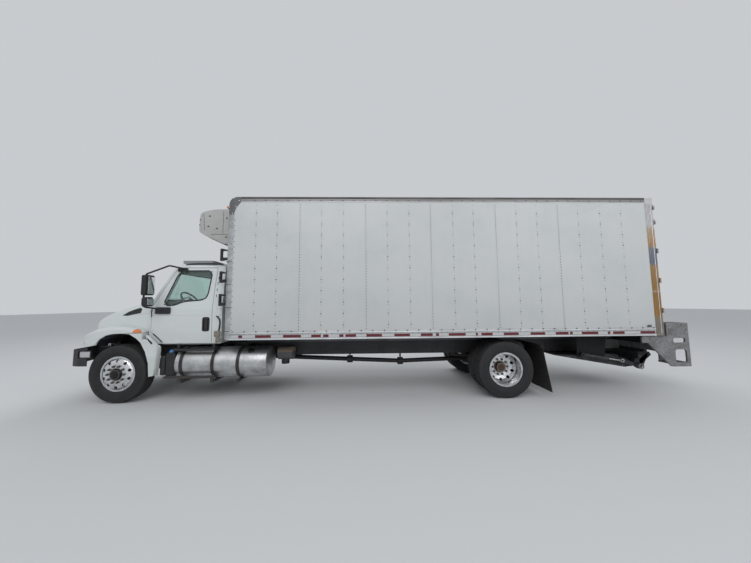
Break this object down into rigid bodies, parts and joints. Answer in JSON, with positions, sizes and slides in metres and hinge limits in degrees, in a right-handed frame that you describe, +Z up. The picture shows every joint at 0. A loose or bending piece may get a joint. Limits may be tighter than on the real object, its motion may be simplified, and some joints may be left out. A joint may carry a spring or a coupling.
{
  "type": "refrigerated truck",
  "caption": "Bonneted two-axle truck with a day cab, an insulated cold body, a nose-mounted cooling unit and a tuck-under liftgate.",
  "frame": {"origin": "on the ground, at mid length and mid width", "axes": "+X forward, +Y to the driver's left, +Z up"},
  "size_m": [11.281, 2.74, 3.6599],
  "materials": {
    "cab_paint": "satin white paint",
    "frame_paint": "black chassis paint",
    "dark_iron": "rough cast",
    "bumper_plastic": "moulded black",
    "black_plastic": "moulded black",
    "grey_plastic": "moulded grey",
    "tyre_rubber": "weathered",
    "flap_rubber": "dull",
    "polished_alloy": "polished",
    "brushed_alloy": "brushed",
    "strap_steel": "black paint",
    "galvanised": "galvanised",
    "glass": "green tint",
    "lamp_glass": "clear",
    "seat_fabric": "woven",
    "body_panel": "white prepaint",
    "unit_shell": "cream moulding",
    "stainless": "stainless"
  },
  "bodies": {
    "chassis": {"chassis_frame": "frame_paint", "front_bumper": "bumper_plastic", "front_axle": "dark_iron", "rear_axle": "dark_iron", "leaf_springs": "dark_iron", "engine": "dark_iron", "drive_shaft": "dark_iron", "fuel_tank": "polished_alloy", "tank_straps": "strap_steel", "def_tank": "black_plastic", "cab_steps": "strap_steel", "air_dryer": "dark_iron", "battery_box": "black_plastic", "exhaust": "dark_iron", "mud_flaps": "flap_rubber", "cab_shell": "cab_paint", "windshield": "glass", "dashboard": "grey_plastic", "steering_wheel": "black_plastic", "seats": "seat_fabric", "roof_deflector": "grey_plastic", "box_floor": "brushed_alloy", "box_side_walls": "body_panel", "box_front_wall": "body_panel", "box_roof": "body_panel", "side_rails": "brushed_alloy", "corner_posts": "brushed_alloy", "rear_frame": "stainless", "corner_caps": "grey_plastic", "fender_extensions": "cab_paint", "refrigeration_unit": "unit_shell", "access_steps": "black_plastic", "liftgate_frame": "galvanised"},
    "hood": {"hood": "cab_paint", "grille": "black_plastic", "headlamps": "lamp_glass", "splash_shields": "black_plastic"},
    "knuckle_left": {"knuckle_left": "dark_iron"},
    "knuckle_right": {"knuckle_right": "dark_iron"},
    "tie_rod": {"tie_rod": "dark_iron"},
    "front_left_wheel": {"front_left_rim": "polished_alloy", "front_left_tyre": "tyre_rubber"},
    "front_right_wheel": {"front_right_rim": "polished_alloy", "front_right_tyre": "tyre_rubber"},
    "rear_left_wheels": {"rear_left_rims": "polished_alloy", "rear_left_tyres": "tyre_rubber"},
    "rear_right_wheels": {"rear_right_rims": "polished_alloy", "rear_right_tyres": "tyre_rubber"},
    "cab_door_left": {"cab_door_left": "cab_paint", "door_glass_left": "glass", "mirror_left": "black_plastic"},
    "cab_door_right": {"cab_door_right": "cab_paint", "door_glass_right": "glass", "mirror_right": "black_plastic"},
    "rear_door_left": {"rear_door_left": "body_panel"},
    "rear_door_right": {"rear_door_right": "body_panel"},
    "lift_arms": {"lift_arms": "galvanised"},
    "lift_platform": {"lift_platform": "frame_paint"},
    "lift_cylinders": {"lift_cylinders": "frame_paint"},
    "lift_rods": {"lift_rods": "stainless"}
  },
  "joints": [
    {"name": "hood_tilt", "type": "hinge", "parent": "chassis", "child": "hood", "pos_m": [5.5355, 0, 0.9], "axis": [0, 1, 0], "range_deg": [0, 60]},
    {"name": "steering", "type": "hinge", "parent": "chassis", "child": "knuckle_left", "pos_m": [4.6505, 0.865, 0.506], "axis": [0, 0, 1], "range_deg": [-35, 35]},
    {"name": "steering_right", "type": "hinge", "parent": "chassis", "child": "knuckle_right", "pos_m": [4.6505, -0.865, 0.506], "axis": [0, 0, 1], "range_deg": [-35, 35]},
    {"name": "tie_rod_turn", "type": "hinge", "parent": "knuckle_left", "child": "tie_rod", "pos_m": [4.4805, 0.865, 0.445], "axis": [0, 0, 1], "range_deg": [-35, 35]},
    {"name": "front_left_spin", "type": "hinge", "parent": "knuckle_left", "child": "front_left_wheel", "pos_m": [4.6505, 1.003, 0.506], "axis": [0, 1, 0], "continuous": true},
    {"name": "front_right_spin", "type": "hinge", "parent": "knuckle_right", "child": "front_right_wheel", "pos_m": [4.6505, -1.003, 0.506], "axis": [0, 1, 0], "continuous": true},
    {"name": "rear_left_spin", "type": "hinge", "parent": "chassis", "child": "rear_left_wheels", "pos_m": [-2.2605, 0.915, 0.506], "axis": [0, 1, 0], "continuous": true},
    {"name": "rear_right_spin", "type": "hinge", "parent": "chassis", "child": "rear_right_wheels", "pos_m": [-2.2605, -0.915, 0.506], "axis": [0, 1, 0], "continuous": true},
    {"name": "cab_door_left_swing", "type": "hinge", "parent": "chassis", "child": "cab_door_left", "pos_m": [4.2105, 1.035, 1.5], "axis": [0, 0, -1], "range_deg": [0, 70]},
    {"name": "cab_door_right_swing", "type": "hinge", "parent": "chassis", "child": "cab_door_right", "pos_m": [4.2105, -1.035, 1.5], "axis": [0, 0, 1], "range_deg": [0, 70]},
    {"name": "rear_door_left_swing", "type": "hinge", "parent": "chassis", "child": "rear_door_left", "pos_m": [-5.1575, 1.303, 2.4], "axis": [0, 0, -1], "range_deg": [0, 255]},
    {"name": "rear_door_right_swing", "type": "hinge", "parent": "chassis", "child": "rear_door_right", "pos_m": [-5.1575, -1.303, 2.4], "axis": [0, 0, 1], "range_deg": [0, 255]},
    {"name": "liftgate_lower", "type": "hinge", "parent": "chassis", "child": "lift_arms", "pos_m": [-4.2995, 0, 0.69], "axis": [0, -1, 0], "range_deg": [0, 26]},
    {"name": "platform_level", "type": "hinge", "parent": "lift_arms", "child": "lift_platform", "pos_m": [-5.0495, 0, 0.47], "axis": [0, 1, 0], "range_deg": [0, 26]},
    {"name": "cylinder_turn", "type": "hinge", "parent": "chassis", "child": "lift_cylinders", "pos_m": [-3.9095, 0, 0.7], "axis": [0, -1, 0], "range_deg": [0, 13.02]},
    {"name": "rod_slide", "type": "slide", "parent": "lift_cylinders", "child": "lift_rods", "axis": [-0.9879, 0, -0.155], "range_m": [-0.04279, 0]}
  ],
  "couplings": [
    {"joint": "steering_right", "follows": "steering", "ratio": 1},
    {"joint": "tie_rod_turn", "follows": "steering", "ratio": -1},
    {"joint": "platform_level", "follows": "liftgate_lower", "ratio": 1},
    {"joint": "cylinder_turn", "follows": "liftgate_lower", "ratio": 0.50046},
    {"joint": "rod_slide", "follows": "liftgate_lower", "m_per_rad": -0.093861}
  ]
}
